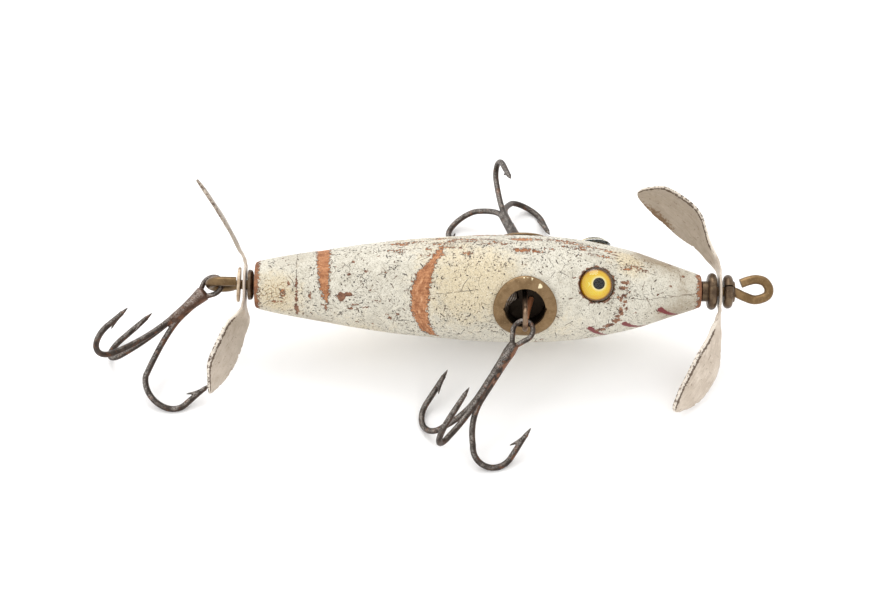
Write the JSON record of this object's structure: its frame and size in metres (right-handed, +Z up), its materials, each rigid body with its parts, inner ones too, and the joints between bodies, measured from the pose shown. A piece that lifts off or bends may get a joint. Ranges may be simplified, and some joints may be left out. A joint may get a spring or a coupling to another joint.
{
  "type": "wooden propeller minnow lure",
  "caption": "Old turned-wood minnow fishing lure with glass eyes, metal spinner blades at nose and tail, and treble hooks on its sides and tail.",
  "frame": {"origin": "middle of the outer box, on the surface that the lure lies on", "axes": "+X towards the nose along the lure, +Y towards its left side, +Z up"},
  "size_m": [0.1146, 0.0632, 0.0243],
  "materials": {
    "painted_wood": "old off-white paint worn through to orange-brown wood",
    "yellow_glass": "clear glass over a yellow iris and a black pupil",
    "aged_brass": "dull brown-olive patina",
    "dark_brass": "dark brown patina",
    "worn_nickel": "dull nickel plate, chipped along the edges",
    "blackened_steel": "blackened steel with brown rust"
  },
  "bodies": {
    "lure": {"body": "painted_wood", "glass_eye_right": "yellow_glass", "glass_eye_left": "yellow_glass", "hook_cup_right": "aged_brass", "hook_cup_left": "aged_brass", "hook_hanger_right": "dark_brass", "hook_hanger_left": "dark_brass", "line_tie": "aged_brass", "tail_eye": "aged_brass", "front_inner_bead": "dark_brass", "front_outer_bead": "dark_brass", "rear_cup_washer": "dark_brass", "rear_washer": "aged_brass", "treble_hook_right": "blackened_steel", "treble_hook_left": "blackened_steel", "treble_hook_tail": "blackened_steel"},
    "front_spinner": {"front_propeller": "worn_nickel"},
    "rear_spinner": {"rear_propeller": "worn_nickel"}
  },
  "joints": [
    {"name": "front_propeller_spin", "type": "hinge", "parent": "lure", "child": "front_spinner", "pos_m": [0.04814, -0.00102, 0.01248], "axis": [1, 0, 0], "continuous": true},
    {"name": "rear_propeller_spin", "type": "hinge", "parent": "lure", "child": "rear_spinner", "pos_m": [-0.03281, -0.00102, 0.01248], "axis": [1, 0, 0], "continuous": true}
  ]
}
